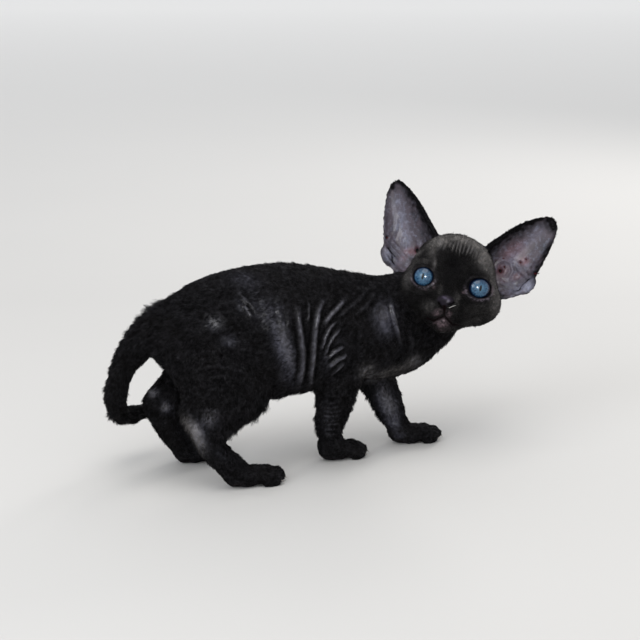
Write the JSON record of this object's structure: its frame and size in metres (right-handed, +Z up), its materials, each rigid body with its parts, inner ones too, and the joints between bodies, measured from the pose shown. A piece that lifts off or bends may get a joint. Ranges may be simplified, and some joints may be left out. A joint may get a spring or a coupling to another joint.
{
  "type": "devon rex cat",
  "caption": "Life-size Devon Rex kitten, standing and looking back over its shoulder, with large cupped ears, a short muzzle and a thin curled-in tail.",
  "frame": {"origin": "on the floor, under the middle of the kitten's bounding box", "axes": "+X from rump to chest, +Y to the kitten's left side, +Z up; the head looks back to -Y"},
  "size_m": [0.242, 0.0784, 0.1443],
  "materials": {
    "coat": "very short black fur over wrinkled dark skin",
    "face": "thin charcoal fur over dark skin",
    "ear_skin": "nearly bare mauve-grey skin with a soft sheen",
    "iris": "wet and glossy, pale blue iris"
  },
  "bodies": {
    "root": {"torso": "coat", "neck": "coat", "head": "face", "eye_right": "iris", "eye_left": "iris", "ear_right": "ear_skin", "ear_left": "ear_skin", "tail_upper": "coat", "tail_lower": "coat", "leg_fore_right": "coat", "paw_fore_right": "coat", "leg_fore_left": "coat", "paw_fore_left": "coat", "leg_hind_right": "coat", "paw_hind_right": "coat", "leg_hind_left": "coat", "paw_hind_left": "coat"}
  },
  "joints": []
}
